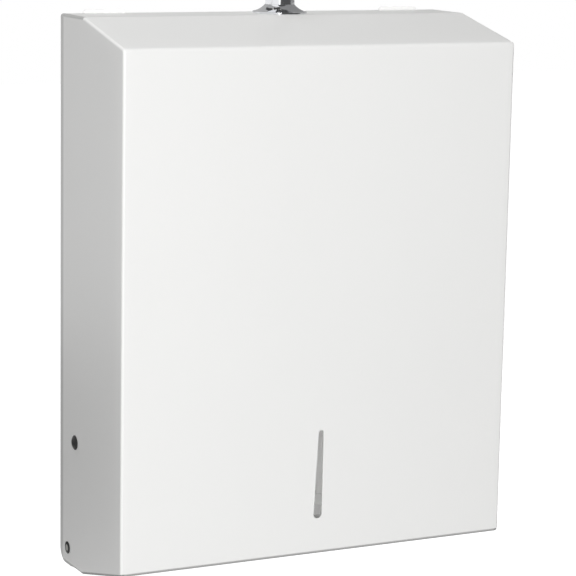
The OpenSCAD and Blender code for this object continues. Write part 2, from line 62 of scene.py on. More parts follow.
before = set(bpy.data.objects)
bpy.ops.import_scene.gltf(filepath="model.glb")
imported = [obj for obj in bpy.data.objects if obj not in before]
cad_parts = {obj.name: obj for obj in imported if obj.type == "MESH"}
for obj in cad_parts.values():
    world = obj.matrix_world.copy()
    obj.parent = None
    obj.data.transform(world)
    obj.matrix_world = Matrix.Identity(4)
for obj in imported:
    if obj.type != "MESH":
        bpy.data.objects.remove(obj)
CAD_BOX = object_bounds()

MM = 0.001
QUARTER = math.pi / 2
MERGE = 1e-6
LEFT = -1
RIGHT = 1
SHARP_ANGLE = math.radians(40)
BEVEL_ANGLE = math.radians(50)
LOCK_STEPS = 128
CARD_STEPS = (28, 39)
FLOOR_STEPS = 9

END_LOW, END_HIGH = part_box("cover_left_end")
COLLAR_LOW, COLLAR_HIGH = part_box("lock_collar")
BARREL_LOW, BARREL_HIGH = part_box("lock_barrel")
STOP_LOW, STOP_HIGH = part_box("right_stop_pin")
HINGE_LOW, HINGE_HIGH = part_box("right_hinge_pin")
KEY_LOW, KEY_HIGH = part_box("key")
TRAY_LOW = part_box("towel_tray")[0]


def length(name, description, default):
    """A length property in metres."""
    return bpy.props.FloatProperty(
        name=name, description=description, default=default, unit="LENGTH", precision=4)


def angle(name, description, degrees):
    """An angle property, given in degrees."""
    return bpy.props.FloatProperty(
        name=name, description=description, default=math.radians(degrees), subtype="ANGLE")


def colour(name, description, default):
    """A colour property without alpha."""
    return bpy.props.FloatVectorProperty(
        name=name, description=description, default=default, subtype="COLOR", size=3,
        min=0.0, max=1.0)


def place(name, description, default):
    """A point property in metres."""
    return bpy.props.FloatVectorProperty(
        name=name, description=description, default=default, subtype="XYZ", unit="LENGTH",
        size=3, precision=4)


def amount(name, description, default):
    """A plain number property."""
    return bpy.props.FloatProperty(name=name, description=description, default=default)


class DispenserCover(bpy.types.PropertyGroup):
    """Sizes of the folded cover."""

    bevel_rise: length("Slope rise", "Rise of the sloped panel at the top", 15.5 * MM)
    lower_rise: length("Lower rise", "Rise of the sloped lower edge", 17.5 * MM)
    flat_depth: length("Flat depth", "Depth of the level strip at the top", 41 * MM)
    sheet: length("Sheet", "Thickness of the cover's sheet", 1 * MM)
    bend_radius: length("Bend radius", "Outside radius of the cover's bends", 3 * MM)
    edge_radius: length("Edge radius", "Radius of the edges between front and ends", 1.8 * MM)
    corner_radius: length("Corner radius", "Radius of the lower back corners", 9.5 * MM)
    lip_length: length("Lip length", "Length of the lip under the front panel", 20 * MM)
    lip_return: length("Lip return", "Height of the return at the lip's end", 4 * MM)
    hem_width: length("Hem width", "Width of the hem turned in along the ends' lower edges", 6 * MM)
    slot_up: length("Slot height", "Height of the sight slot above the front's lower edge", 24 * MM)
    slot_length: length("Slot length", "Length of the sight slot", 60.5 * MM)
    slot_low_width: length("Slot lower width", "Width of the slot's lower end", 6.2 * MM)
    slot_top_width: length("Slot upper width", "Width of the slot's upper end", 3.6 * MM)
    slot_lean: angle("Slot lean", "Angle by which the slot leans to the right", 1.5)
    tab_spacing: length("Tab spacing", "Distance between the middles of the tabs", 222 * MM)
    notch_width: length("Notch width", "Width of the notches for the tabs", 30.8 * MM)
    notch_depth: length("Notch depth", "Depth of the notches for the tabs", 0.8 * MM)
    # Width and share of the painted shade that darkens the enamel along the cover's rims
    rim_width: length("Rim width", "Width of the rims on which the enamel is thin", 2.2 * MM)
    rim_shade: amount("Rim shade", "Share of the enamel's white that the thin rims lose", 0.45)


class DispenserLock(bpy.types.PropertyGroup):
    """Sizes of the lock's head, pins and key."""

    collar_rim: length("Collar rim", "Height of the collar's upright rim", 1.2 * MM)
    collar_sweep: length("Collar sweep", "Radius of the collar's hollow sweep", 14 * MM)
    collar_top_radius: length("Collar top", "Radius of the collar at its top", 10 * MM)
    barrel_radius: length("Barrel radius", "Radius of the barrel under its head", 9.5 * MM)
    barrel_edge: length("Barrel edge", "Chamfer of the barrel's head", 0.8 * MM)
    face_bore: length("Face bore", "Radius of the bore around the plug's face", 7.56 * MM)
    face_depth: length("Face depth", "Depth of the bore around the plug's face", 1.7 * MM)
    plug_bore: length("Plug bore", "Radius of the bore around the plug", 6.06 * MM)
    stop_shank: length("Stop shank", "Radius of the stop pin's shank", 3 * MM)
    stop_head: length("Stop head", "Height of the stop pin's head", 2 * MM)
    hinge_shank: length("Hinge shank", "Radius of the hinge pin's shank", 2.5 * MM)
    hinge_head: length("Hinge head", "Height of the hinge pin's heads", 1.5 * MM)
    key_neck: length("Key neck", "Height of the key's neck", 5 * MM)
    key_bow: length("Key bow", "Radius of the key's bow", 12 * MM)
    key_hole: length("Key hole", "Radius of the ring hole", 3 * MM)
    key_blade: length("Key blade", "Width of the key's blade", 8 * MM)
    key_edge: length("Key edge", "Radius of the key's edges", 0.4 * MM)


class DispenserColours(bpy.types.PropertyGroup):
    """Base colours of the finishes."""

    enamel: colour("Enamel", "White enamel of the cover and wall unit", (0.86, 0.86, 0.85))
    zinc: colour("Zinc", "Zinc plate of the clips, nut and cam", (0.62, 0.63, 0.64))
    chrome: colour("Chrome", "Chrome plate of the lock's head", (0.82, 0.83, 0.85))
    black: colour("Black", "Black oxide of the stop and hinge pins", (0.02, 0.02, 0.02))
    nylon: colour("Nylon", "Nylon of the hinge washers", (0.85, 0.84, 0.80))
    brass: colour("Brass", "Brass of the wafers", (0.72, 0.56, 0.26))
    nickel: colour("Nickel", "Nickel plate of the plug and key", (0.70, 0.69, 0.66))
    floor: colour("Floor", "Studio floor under its white glow", (0.2, 0.2, 0.2))
    cards: colour("Cards", "Tone of the studio's reflection cards", (0.5, 0.5, 0.5))


class DispenserStage(bpy.types.PropertyGroup):
    """Camera, lamps and floor."""

    eye: place("Camera place", "Where the camera stands", (-0.68294, -1.43637, 0.27961))
    aim: place("Camera aim", "Point at which the camera looks", (0.02551, -0.00794, -0.0069))
    roll: angle("Camera roll", "Turn of the camera about its view axis", 1.0584)
    lens: amount("Lens", "Focal length in millimetres on a 36 mm sensor", 144.33)
    key_place: place("Key lamp", "Where the key lamp stands", (-1.05, -2.5, 0.62))
    key_size: length("Key size", "Side of the key lamp", 0.8)
    key_power: amount("Key power", "Power of the key lamp in watts", 57.0)
    strip_place: place("Strip lamp", "Where the strip lamp in line with the slot stands",
                       (-0.716, -1.5, 0.299))
    strip_width: length("Strip width", "Width of the strip lamp", 0.03)
    strip_height: length("Strip height", "Height of the strip lamp", 0.26)
    strip_power: amount("Strip power", "Power of the strip lamp in watts", 3.2)
    top_place: place("Top lamp", "Where the lamp above the part hangs", (-0.2, 0.55, 1.4))
    top_size: length("Top size", "Side of the top lamp", 1.2)
    top_power: amount("Top power", "Power of the top lamp in watts", 12.0)
    fill_place: place("Fill lamp", "Where the fill lamp behind the part stands", (1.5, 1.1, 0.05))
    fill_size: length("Fill size", "Side of the fill lamp", 1.0)
    fill_power: amount("Fill power", "Power of the fill lamp in watts", 14.0)
    inner_place: place("Inner lamp", "Where the faint lamp in the towel space hangs",
                       (0.05, -0.06, 0.0))
    inner_size: length("Inner size", "Side of the inner lamp", 0.04)
    inner_power: amount("Inner power", "Power of the inner lamp in watts", 0.05)
    ambient: amount("Ambient", "Strength of the light from all round", 0.19)
    card_radius: length("Card radius", "Distance of the cards that only mirrors see", 1.25)
    floor_drop: length("Floor drop", "Distance of the floor under the part", 0.26)
    floor_side: length("Floor side", "Side of the floor", 12.0)
    floor_glow: amount("Floor glow", "White that the floor shows under the part", 0.4)
    floor_fade: length("Floor fade", "Distance at which the floor has turned all white", 0.9)


class Signal:
    """One output socket of a node tree. Python's operators on it add Math nodes."""

    def __init__(self, nodes, socket):
        self.nodes = nodes
        self.socket = socket

    def maths(self, operation, first, second):
        return self.nodes.node("ShaderNodeMath", {"operation": operation}, {0: first, 1: second})

    def __add__(self, other):
        return self.maths("ADD", self, other)

    __radd__ = __add__

    def __sub__(self, other):
        return self.maths("SUBTRACT", self, other)

    def __rsub__(self, other):
        return self.maths("SUBTRACT", other, self)

    def __mul__(self, other):
        return self.maths("MULTIPLY", self, other)

    __rmul__ = __mul__


class Nodes:
    """A node tree, with one method that makes any node."""

    def __init__(self, tree):
        self.tree = tree

    def node(self, kind, settings=None, inputs=None, output=0):
        """Makes a node, sets it, feeds its sockets and returns one output."""
        made = self.tree.nodes.new(kind)
        for name, value in (settings or {}).items():
            setattr(made, name, value)
        self.feed(made, inputs or {})
        return Signal(self, made.outputs[output])

    def feed(self, node, inputs):
        """Links or sets each named input of a node."""
        for name, value in inputs.items():
            if isinstance(value, Signal):
                self.tree.links.new(value.socket, node.inputs[name])
            else:
                node.inputs[name].default_value = value


class Finish(Nodes):
    """A material under way: its tree, its Principled shader and its Object coordinates."""

    def __init__(self, name):
        self.material = bpy.data.materials.new(name)
        self.material.use_nodes = True
        super().__init__(self.material.node_tree)
        self.shader = self.tree.nodes["Principled BSDF"]
        self.spot = self.node("ShaderNodeTexCoord", output="Object")

    def noise(self, scale, detail=2.0, stretch=(1.0, 1.0, 1.0)):
        """Soft noise from 0 to 1, with scale waves to the metre, stretched along the axes."""
        spot = self.node("ShaderNodeMapping", {}, {"Vector": self.spot, "Scale": stretch})
        return self.node(
            "ShaderNodeTexNoise", {}, {"Vector": spot, "Scale": scale, "Detail": detail})

    def axes(self):
        """The three Object coordinates."""
        return [self.node("ShaderNodeSeparateXYZ", {}, {0: self.spot}, k) for k in range(3)]

    def near(self, gap, width):
        """1 close to an edge, falling to 0 where the gap from it has grown to a width."""
        return self.node("ShaderNodeMapRange", {"interpolation_type": "SMOOTHSTEP"}, {
            "Value": gap, "From Min": width / 2, "From Max": width, "To Min": 1.0, "To Max": 0.0})

    def cells(self, scale):
        """Flat cells, each with its own value from 0 to 1."""
        cell = self.node(
            "ShaderNodeTexVoronoi", {}, {"Vector": self.spot, "Scale": scale}, "Color")
        return self.node("ShaderNodeSeparateColor", {}, {"Color": cell}, "Red")

    def mix(self, share, first, second):
        """Colour between first and second."""
        return self.node(
            "ShaderNodeMix", {"data_type": "RGBA"}, {0: share, 6: first, 7: second}, 2)

    def bump(self, height, strength, distance):
        """Normal tilted by a height."""
        return self.node(
            "ShaderNodeBump", {}, {"Height": height, "Strength": strength, "Distance": distance})

    def shade(self, **inputs):
        """Feeds the shader, with underscores for the spaces in its socket names."""
        self.feed(self.shader, {name.replace("_", " "): value for name, value in inputs.items()})
        return self.material


def rgba(base, share=1.0):
    """A colour property as four numbers, scaled by a share."""
    return (base[0] * share, base[1] * share, base[2] * share, 1.0)


def painted_rim_shade(finish):
    """Share of the white lost to painted shade along the cover's rims.

    The shade is painted on the sheared rims of the cover's ends, at their top, back and bottom,
    and along the cover's sloped lower edge, whose height grows with the distance in front of the
    flat.
    """
    sizes = bpy.context.scene.dispenser_cover
    x, y, z = finish.axes()
    ahead = -sizes.flat_depth - y
    flat = ahead.maths("LESS_THAN", ahead, 0.0)
    climb = sizes.lower_rise / (-END_LOW.y - sizes.flat_depth)
    edge = END_LOW.z + climb * ahead.maths("MAXIMUM", ahead, 0.0)
    # Painted shade: these masks darken the enamel along the ends' rims and the sloped lower edge
    low = finish.near(z - edge, sizes.rim_width)
    top = flat * finish.near(END_HIGH.z - z, sizes.rim_width)
    back_share = 0.6
    back_width = 3 * sizes.rim_width
    back = back_share * finish.near(END_HIGH.y - y, back_width)
    end = finish.near(-END_LOW.x - x.maths("ABSOLUTE", x, 0.0), 2 * sizes.edge_radius)
    rims = end * low.maths("MAXIMUM", low, top.maths("MAXIMUM", top, back))
    slope = low * (1.0 - flat)
    return 1.0 - (1.0 - sizes.rim_shade * rims) * (1.0 - sizes.rim_shade * slope)


def enamel_finish(finish, base):
    """Semi-gloss baked enamel: faint clouds of tone, orange peel, duller patches and painted shade
    along the rims.
    """
    clouds = finish.noise(9.0, 3.0)
    patches = finish.noise(26.0, 2.0)
    peel = finish.noise(310.0, 1.0)
    specks = finish.noise(1900.0, 1.0)
    film = finish.mix(clouds, rgba(base, 0.985), rgba(base))
    return finish.shade(
        # Base colour darkened towards black by the painted rim shade
        Base_Color=finish.mix(painted_rim_shade(finish), film, rgba(base, 0.0)),
        Roughness=0.34 + 0.10 * patches,
        Normal=finish.bump(peel + 0.15 * specks, 0.10, 0.0006),
        IOR=1.5)


def zinc_finish(finish, base):
    """Satin zinc plate: faint spangle cells, rolling lines and fine grain."""
    spangle = finish.cells(95.0)
    lines = finish.noise(60.0, 4.0, (1.0, 1.0, 14.0))
    grain = finish.noise(1400.0, 2.0)
    return finish.shade(
        Base_Color=finish.mix(spangle * 0.6 + lines * 0.4, rgba(base, 0.86), rgba(base, 1.08)),
        Metallic=1.0,
        Roughness=0.30 + 0.12 * spangle + 0.08 * lines,
        Normal=finish.bump(grain + lines, 0.06, 0.0003))


def chrome_finish(finish, base):
    """Polished chrome plate with a trace of polishing haze."""
    haze = finish.noise(120.0, 3.0)
    return finish.shade(
        Base_Color=finish.mix(haze, rgba(base, 0.97), rgba(base)),
        Metallic=1.0,
        Roughness=0.05 + 0.05 * haze)


def black_finish(finish, base):
    """Black oxide steel: fine grain, paler worn flecks, and a painted highlight: a pale steel
    middle on the hinge pins' heads.
    """
    grain = finish.noise(2600.0, 2.0)
    wear = finish.noise(420.0, 3.0)
    hinge = (HINGE_LOW + HINGE_HIGH) / 2
    y, z = finish.axes()[1:]
    across, up = y - hinge.y, z - hinge.z
    shank = bpy.context.scene.dispenser_lock.hinge_shank
    # Painted highlight: the middle of each hinge pin's head turns to a pale steel colour
    painted_highlight = finish.near(across * across + up * up, shank ** 2)
    oxide = finish.mix(wear, rgba(base, 0.7), rgba(base, 1.6))
    steel = rgba(bpy.context.scene.dispenser_colours.nickel, 0.6)
    return finish.shade(
        Base_Color=finish.mix(painted_highlight, oxide, steel),
        Roughness=0.36 + 0.14 * wear,
        Normal=finish.bump(grain, 0.08, 0.0002),
        Specular_IOR_Level=0.15)


def nylon_finish(finish, base):
    """Natural nylon with a slight clouding."""
    clouds = finish.noise(300.0, 2.0)
    return finish.shade(
        Base_Color=finish.mix(clouds, rgba(base, 0.94), rgba(base)),
        Roughness=0.42 + 0.1 * clouds)


def brass_finish(finish, base):
    """Plain brass with stamped tone."""
    tone = finish.noise(500.0, 3.0)
    return finish.shade(
        Base_Color=finish.mix(tone, rgba(base, 0.82), rgba(base)),
        Metallic=1.0,
        Roughness=0.28 + 0.12 * tone)


def nickel_finish(finish, base):
    """Bright nickel plate with fine handling scratches along the height."""
    scratches = finish.noise(260.0, 4.0, (9.0, 9.0, 1.0))
    return finish.shade(
        Base_Color=finish.mix(scratches, rgba(base, 0.9), rgba(base)),
        Metallic=1.0,
        Roughness=0.14 + 0.14 * scratches,
        Normal=finish.bump(scratches, 0.05, 0.0002))


FINISHES = {
    "white_enamel": (enamel_finish, "enamel"),
    "zinc_steel": (zinc_finish, "zinc"),
    "chrome": (chrome_finish, "chrome"),
    "black_steel": (black_finish, "black"),
    "nylon": (nylon_finish, "nylon"),
    "brass": (brass_finish, "brass"),
    "nickel_steel": (nickel_finish, "nickel"),
}

SOLID_FINISHES = {
    "white_enamel": (
        "back_plate", "left_bracket", "right_bracket", "bracket_rivets", "towel_tray",
        "tray_rivets", "left_towel_guide", "right_towel_guide", "guide_rivets", "lock_keeper",
        "keeper_rivets"),
    "zinc_steel": (
        "left_stop_clip", "right_stop_clip", "lock_washer", "lock_nut", "lock_cam", "cam_screw"),
    "nylon": ("left_hinge_washer", "right_hinge_washer"),
    "brass": ("lock_wafers",),
    "nickel_steel": ("lock_plug",),
}


def finish_for(slot):
    """The finish of a slot, made at its first use, beside the solids' plain material."""
    name = "dressed_" + slot
    made = bpy.data.materials.get(name)
    if made is None:
        make, colour_name = FINISHES[slot]
        made = make(Finish(name), getattr(bpy.context.scene.dispenser_colours, colour_name))
    return made


def squares(rows, columns, round_rows=False, round_columns=False):
    """Corner numbers of a grid's squares, by row and column. A round side joins its ends."""
    r = np.arange(rows if round_rows else rows - 1)
    c = np.arange(columns if round_columns else columns - 1)
    r, c = np.meshgrid(r, c, indexing="ij")
    below = (r + 1) % rows
    beside = (c + 1) % columns
    corners = [r * columns + c, below * columns + c, below * columns + beside, r * columns + beside]
    return np.stack(corners, axis=-1)


def bent_line(corners, radius, steps):
    """Line of straight runs whose inner corners are arcs that touch both runs.

    An arc starts short of its corner by the radius times the tangent of half the turn, and
    its points are radius times (sin a along the first run + (1 - cos a) to the turn's side).
    """
    corners = np.asarray(corners, float)
    run = np.diff(corners, axis=0)
    run /= np.linalg.norm(run, axis=1, keepdims=True)
    into, out = run[:-1], run[1:]
    crossed = into[:, 0] * out[:, 1] - into[:, 1] * out[:, 0]
    turn = np.arctan2(crossed, (into * out).sum(axis=1))
    radius = np.broadcast_to(radius, turn.shape)
    aside = np.stack([-into[:, 1], into[:, 0]], axis=1) * np.sign(turn)[:, None]
    start = corners[1:-1] - into * (radius * np.abs(np.tan(turn / 2)))[:, None]
    a = np.abs(turn)[:, None] * np.linspace(0, 1, steps + 1)
    reach = np.sin(a)[..., None] * into[:, None] + (1 - np.cos(a))[..., None] * aside[:, None]
    arcs = start[:, None] + radius[:, None, None] * reach
    line = np.vstack([corners[:1], arcs.reshape(-1, 2), corners[-1:]])
    step = np.linalg.norm(np.diff(line, axis=0), axis=1)
    return line[np.concatenate([[True], step > MERGE])]


def distances(line):
    """Distance of each point of a line from its start, along the line."""
    return np.concatenate([[0], np.cumsum(np.linalg.norm(np.diff(line, axis=0), axis=1))])


def on_line(line, s):
    """Points of a line at distances s from its start."""
    knots = distances(line)
    return np.stack([np.interp(s, knots, line[:, k]) for k in range(line.shape[1])], axis=-1)


def turned(profile, steps=96):
    """Surface of revolution: the (radius, height) profile carried once round the Z axis."""
    angle = np.linspace(0, 2 * math.pi, steps, endpoint=False)
    radius, height = profile[:, :1], profile[:, 1:]
    return np.stack(
        [radius * np.cos(angle), radius * np.sin(angle), height + 0 * angle], axis=-1)


def dome_line(radius, height, steps=14):
    """Cap of a ball from its top to its rim: the ball's radius is (r * r + h * h) / 2h."""
    ball = (radius * radius + height * height) / (2 * height)
    a = np.linspace(0, math.asin(min(1.0, radius / ball)), steps)
    return np.stack([ball * np.sin(a), height - ball * (1 - np.cos(a))], axis=-1)


def piece(name, points, faces, body, slot, nodes, recalculate=True):
    """Mesh object of a finished surface, riding on a body in place of the named solids."""
    mesh = bpy.data.meshes.new(name)
    mesh.from_pydata(points.reshape(-1, 3).tolist(), [], faces.reshape(-1, 4).tolist())
    work = bmesh.new()
    work.from_mesh(mesh)
    bmesh.ops.remove_doubles(work, verts=work.verts, dist=MERGE)
    bmesh.ops.delete(work, geom=[v for v in work.verts if not v.link_faces], context="VERTS")
    if recalculate:
        bmesh.ops.recalc_face_normals(work, faces=work.faces)
    work.to_mesh(mesh)
    work.free()
    mesh.polygons.foreach_set("use_smooth", np.ones(len(mesh.polygons), dtype=bool))
    mesh.set_sharp_from_angle(angle=SHARP_ANGLE)
    mesh.materials.append(finish_for(slot))
    made = bpy.data.objects.new(name, mesh)
    bpy.context.scene.collection.objects.link(made)
    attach(made, body)
    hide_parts(*nodes)
    return made


def soften(made, width):
    """Narrow rounded bevel on a piece's hard edges."""
    bevel = made.modifiers.new("soft edges", "BEVEL")
    bevel.width = width
    bevel.segments = 2
    bevel.limit_method = "ANGLE"
    bevel.angle_limit = BEVEL_ANGLE
    bevel.harden_normals = True


def cover_line(sizes):
    """Outline of the cover's end from the top's back edge round the front to the hinge corner."""
    front, back = END_LOW.y, END_HIGH.y
    top, bottom = END_HIGH.z, END_LOW.z
    corners = [
        (back, top), (-sizes.flat_depth, top), (front, top - sizes.bevel_rise),
        (front, bottom + sizes.lower_rise), (-sizes.flat_depth, bottom), (back, bottom),
        (back, bottom + sizes.corner_radius)]
    bend = sizes.bend_radius
    return bent_line(corners, [bend, bend, bend, bend, sizes.corner_radius], 10)


def hole_patch(points, rows, columns, low, top, low_radius, top_radius, rings=5):
    """Grid that fills a window of a flat grid round a slot between two round ends.

    Each corner on the window's rim looks for the nearest point of the slot's middle line,
    from low to top, and the slot's edge lies one radius from there towards the corner.
    The rings run straight from that edge to the rim.
    """
    r0, r1 = rows
    c0, c1 = columns
    rim = np.concatenate([
        points[r1, c0:c1], points[r1:r0:-1, c1], points[r0, c1:c0:-1], points[r0:r1, c0]])
    middle = np.clip(((rim - low) @ (top - low)) / max((top - low) @ (top - low), MERGE ** 2), 0, 1)
    middle = middle[:, None]
    foot = low + middle * (top - low)
    away = rim - foot
    away /= np.linalg.norm(away, axis=1, keepdims=True)
    edge = foot + away * (low_radius + middle * (top_radius - low_radius))
    share = np.linspace(0, 1, rings)[:, None, None]
    return edge + share * (rim - edge)


class DISPENSER_OT_cover(bpy.types.Operator):
    """Make the folded cover: one skin over top, slope, front, lip and both ends"""

    bl_idname = "dispenser.cover"
    bl_label = "Cover"

    def execute(self, context):
        """Carries a cross-section from end to end along the outline.

        At distance s along the outline, the section runs up one end panel from its back edge,
        turns a quarter circle of the edge radius, crosses the width and comes down the other
        end. The hem and the lip keep only the squares near the ends or the front.
        """
        sizes = context.scene.dispenser_cover
        half = -END_LOW.x
        back, top = END_HIGH.y, END_HIGH.z
        outline = cover_line(sizes)
        knots = distances(outline)
        lock = (COLLAR_LOW + COLLAR_HIGH) / 2
        slot_low_z = END_LOW.z + sizes.lower_rise + sizes.slot_up
        slot_radii = sizes.slot_low_width / 2, sizes.slot_top_width / 2
        slot_foot = np.array([0, END_LOW.y, slot_low_z])
        slot_axis = np.array([math.sin(sizes.slot_lean), 0, math.cos(sizes.slot_lean)])

        # Rows along the outline, with even rows through the two windows
        falling = outline[:, 1] < top - MERGE
        descent = slice(int(np.argmax(falling)), int(np.argmin(outline[:, 1])) + 1)
        lock_window = 14 * MM
        slot_margin = 4 * MM
        lock_rows = back - lock.y + np.linspace(-lock_window, lock_window, 13)
        slot_z = np.linspace(slot_low_z - slot_margin,
                             slot_low_z + sizes.slot_length + slot_margin, 41)
        slot_rows = np.interp(-slot_z, -outline[descent, 1], knots[descent])
        front_low = np.interp(-(END_LOW.z + sizes.lower_rise), -outline[descent, 1], knots[descent])
        lip_end = front_low + sizes.lip_length - sizes.bend_radius
        hem_clearance = sizes.corner_radius * 2.7
        hem_taper = 8 * MM
        row_step = 11 * MM
        hem_end = knots[-1] - hem_clearance
        fillers = np.arange(0, knots[-1], row_step)
        hem_fade = np.linspace(hem_end - hem_taper, hem_end, 6)
        rows = np.unique(np.round(np.concatenate(
            [knots, lock_rows, slot_rows, fillers, hem_fade, [lip_end]]), 6))
        line = on_line(outline, rows)
        ahead = np.gradient(line, rows, axis=0)
        ahead /= np.linalg.norm(ahead, axis=1, keepdims=True)
        outward = np.stack([ahead[:, 1], -ahead[:, 0]], axis=1)
        fade = np.clip((hem_end - rows) / hem_taper, 0, 1)
        radius = sizes.edge_radius * np.sqrt(fade)

        # Columns across the width
        tab_edges = np.add.outer([-1, 1], np.array([-1, 1]) * sizes.notch_width / sizes.tab_spacing)
        tab_edges = tab_edges.ravel() * sizes.tab_spacing / 2
        sharp = 0.02 * MM
        hem_line = half - sizes.hem_width
        inner = half - sizes.edge_radius
        across = np.unique(np.round(np.concatenate([
            np.linspace(-inner, inner, 31)[1:-1], tab_edges - sharp, tab_edges + sharp,
            [-hem_line, hem_line], lock.x + np.linspace(-lock_window, lock_window, 13),
            np.linspace(-2, 2, 13) * slot_margin]), 6))

        panel = np.linspace(0, 1, 7)[:-1]
        arc = np.linspace(0, QUARTER, 9)
        inset = line - outward * radius[:, None]
        spine_z = np.interp(rows, [0, rows[-1]], [top - sizes.edge_radius, outline[-1, 1]])
        spine = np.stack([np.full_like(rows, back), spine_z], axis=1)
        flat = spine[:, None] + panel[None, :, None] * (inset - spine)[:, None]
        sunk = (1 - np.sin(arc))[None, :] * radius[:, None]
        bend = line[:, None] - sunk[..., None] * outward[:, None]
        bend_x = half - (1 - np.cos(arc))[None, :] * radius[:, None]
        flat_x = np.full(flat.shape[:2], half)
        crossing = np.broadcast_to(line[:, None], (len(rows), len(across), 2))
        crossing_x = np.broadcast_to(across, (len(rows), len(across)))
        profile = np.concatenate([flat, bend, crossing, bend[:, ::-1], flat[:, ::-1]], axis=1)
        x = np.concatenate([-flat_x, -bend_x, crossing_x, bend_x[:, ::-1], flat_x[:, ::-1]], axis=1)
        points = np.concatenate([x[..., None], profile], axis=2)

        # Notches for the tabs in the top's back edge
        in_notch = (np.abs(np.abs(x[0]) - sizes.tab_spacing / 2) < sizes.notch_width / 2)
        points[0, in_notch, 1] -= sizes.notch_depth

        # Squares that stay: the ends, the hem as far as its end, and the rest as far as the lip
        faces = squares(*x.shape)
        middle_s = (rows[:-1] + rows[1:])[:, None] / 2
        middle_x = np.abs(x[:-1, :-1] + x[:-1, 1:]) / 2
        column = np.arange(x.shape[1] - 1)[None, :]
        on_end = (column < len(panel)) | (column >= x.shape[1] - 1 - len(panel))
        on_hem = (middle_x > hem_line) & (middle_s < hem_end)
        keep = on_end | on_hem | (middle_s < lip_end)

        patches = []
        slot_low = slot_foot + slot_axis * slot_radii[0]
        slot_top = slot_foot + slot_axis * (sizes.slot_length - slot_radii[1])
        lock_mid = np.array([lock.x, lock.y, top])
        bore = context.scene.dispenser_lock.barrel_radius
        windows = [
            (slot_rows.min(), slot_rows.max(), -2 * slot_margin, 2 * slot_margin,
             slot_low, slot_top, *slot_radii),
            (lock_rows[0], lock_rows[-1], lock.x - lock_window, lock.x + lock_window,
             lock_mid, lock_mid, bore, bore)]
        for s0, s1, x0, x1, low, high, low_radius, high_radius in windows:
            r = [int(np.argmin(np.abs(rows - s))) for s in (s0, s1)]
            c = [int(np.argmin(np.abs(x[r[0]] - value))) for value in (x0, x1)]
            keep[r[0]:r[1], c[0]:c[1]] = False
            patches.append(hole_patch(points, r, c, low, high, low_radius, high_radius))

        # Return at the lip's end: a quarter bend and a short rise
        foot = on_line(outline, np.array([lip_end]))[0]
        run = ahead[int(np.argmin(np.abs(rows - lip_end)))]
        rise = np.array([-run[1], run[0]])
        a = np.linspace(0, QUARTER, 8)[:, None]
        turn = foot + sizes.bend_radius * (np.sin(a) * run + (1 - np.cos(a)) * rise)
        turn = np.vstack([turn, turn[-1] + rise * (sizes.lip_return - sizes.bend_radius)])
        ends = np.abs(across) < hem_line + MERGE
        lip = np.broadcast_to(turn[:, None], (len(turn), ends.sum(), 2))
        lip_x = np.broadcast_to(across[ends], lip.shape[:2])
        patches.append(np.concatenate([lip_x[..., None], lip], axis=2))

        all_points = [points.reshape(-1, 3)]
        all_faces = [faces[keep]]
        count = len(all_points[0])
        for patch, rounded in zip(patches, (True, True, False)):
            all_points.append(patch.reshape(-1, 3))
            all_faces.append(squares(*patch.shape[:2], False, rounded).reshape(-1, 4) + count)
            count += len(all_points[-1])
        made = piece(
            "cover_skin", np.concatenate(all_points), np.concatenate(all_faces), "cover",
            "white_enamel", ("cover_front", "cover_left_end", "cover_right_end"), False)
        wall = made.modifiers.new("sheet", "SOLIDIFY")
        wall.thickness = sizes.sheet
        wall.offset = -1
        wall.use_even_offset = True
        wall.use_quality_normals = True
        soften(made, 0.2 * MM)
        return {"FINISHED"}


class DISPENSER_OT_lock_head(bpy.types.Operator):
    """Make the chrome head of the lock: flared collar and barrel"""

    bl_idname = "dispenser.lock_head"
    bl_label = "Lock head"

    def execute(self, context):
        """Turns two closed profiles; the collar's side is an arc of the sweep radius."""
        sizes = context.scene.dispenser_lock
        middle = (COLLAR_LOW + COLLAR_HIGH) / 2
        axis = np.array([middle.x, middle.y, 0])
        foot, head = COLLAR_LOW.z, COLLAR_HIGH.z
        wide = (COLLAR_HIGH.x - COLLAR_LOW.x) / 2
        low = np.array([wide, foot + sizes.collar_rim])
        high = np.array([sizes.collar_top_radius, head])
        chord = high - low
        span = np.linalg.norm(chord)
        outside = np.array([chord[1], -chord[0]]) / span
        centre = (low + high) / 2 + outside * math.sqrt(sizes.collar_sweep ** 2 - span ** 2 / 4)
        start, end = (math.atan2(*(point - centre)[::-1]) % (2 * math.pi) for point in (low, high))
        angle = np.linspace(start, end, 25)
        sweep = centre + sizes.collar_sweep * np.stack([np.cos(angle), np.sin(angle)], axis=1)
        bore = sizes.barrel_radius
        collar = np.vstack([[(bore, foot), (wide, foot)], sweep, [(bore, head)]])
        collar_grid = turned(collar, LOCK_STEPS) + axis
        collar_faces = squares(len(collar), LOCK_STEPS, True, True)
        made = piece(
            "lock_collar_skin", collar_grid, collar_faces, "cover", "chrome", ("lock_collar",))
        soften(made, 0.25 * MM)

        lip = sizes.collar_top_radius
        tip = BARREL_HIGH.z
        edge = sizes.barrel_edge
        seat = tip - sizes.face_depth
        barrel = np.array([
            (bore, BARREL_LOW.z), (bore, head), (lip, head), (lip, tip - edge), (lip - edge, tip),
            (sizes.face_bore, tip), (sizes.face_bore, seat), (sizes.plug_bore, seat),
            (sizes.plug_bore, BARREL_LOW.z)])
        barrel_grid = turned(barrel, LOCK_STEPS) + axis
        barrel_faces = squares(len(barrel), LOCK_STEPS, True, True)
        made = piece(
            "lock_barrel_skin", barrel_grid, barrel_faces, "cover", "chrome", ("lock_barrel",))
        soften(made, 0.15 * MM)
        return {"FINISHED"}


def along_x(profile, side, low, high, steps=64):
    """A turned profile laid along X, on the left or right, about the middle of a solid's box."""
    grid = turned(profile, steps)
    across = (low.y + high.y) / 2 + grid[..., 0]
    up = (low.z + high.z) / 2 + grid[..., 1]
    return np.stack([side * grid[..., 2], across, up], axis=-1)


